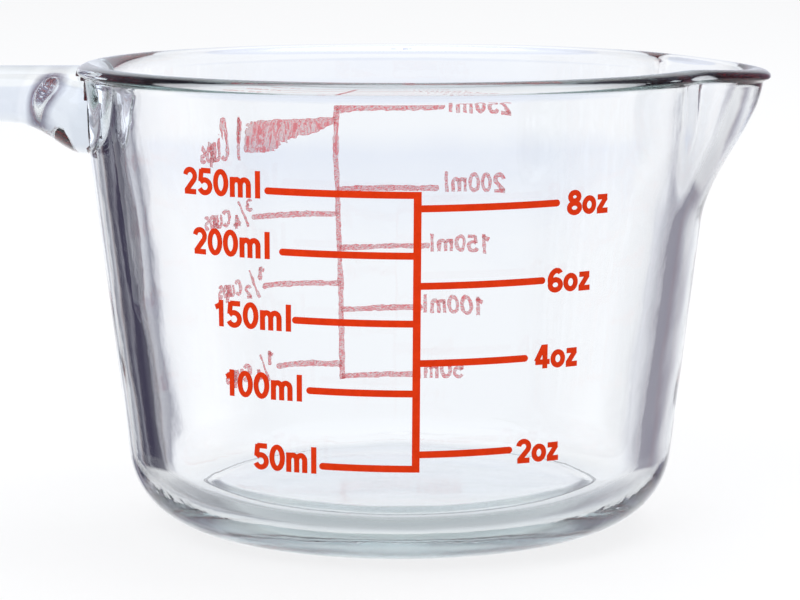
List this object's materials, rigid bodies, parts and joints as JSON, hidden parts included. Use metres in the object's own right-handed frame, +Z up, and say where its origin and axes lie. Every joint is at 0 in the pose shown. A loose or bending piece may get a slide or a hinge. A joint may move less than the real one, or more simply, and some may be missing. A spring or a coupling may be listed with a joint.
{
  "type": "measuring cup",
  "caption": "Squat pressed-glass measuring cup with a rounded heel, rim bead, pouring spout, open handle and red enamel scales on its front and back.",
  "frame": {"origin": "centre of the flat base, on the bowl's axis, at the surface that the cup stands on", "axes": "+Z up along the bowl's axis, +X towards the pouring spout with the handle on -X, -Y towards the front scale"},
  "size_m": [0.1384, 0.098, 0.0711],
  "materials": {
    "clear_glass": "clear pressed soda-lime glass with a pale green edge",
    "red_enamel": "fired orange-red enamel print, slightly glossy"
  },
  "bodies": {
    "root": {"glass_cup": "clear_glass", "front_spine": "red_enamel", "front_50ml_mark": "red_enamel", "front_100ml_mark": "red_enamel", "front_150ml_mark": "red_enamel", "front_200ml_mark": "red_enamel", "front_250ml_mark": "red_enamel", "front_2oz_mark": "red_enamel", "front_4oz_mark": "red_enamel", "front_6oz_mark": "red_enamel", "front_8oz_mark": "red_enamel", "back_spine": "red_enamel", "back_50ml_mark": "red_enamel", "back_100ml_mark": "red_enamel", "back_150ml_mark": "red_enamel", "back_200ml_mark": "red_enamel", "back_250ml_mark": "red_enamel", "back_quarter_cup_mark": "red_enamel", "back_half_cup_mark": "red_enamel", "back_three_quarter_cup_mark": "red_enamel", "back_one_cup_mark": "red_enamel"}
  },
  "joints": []
}
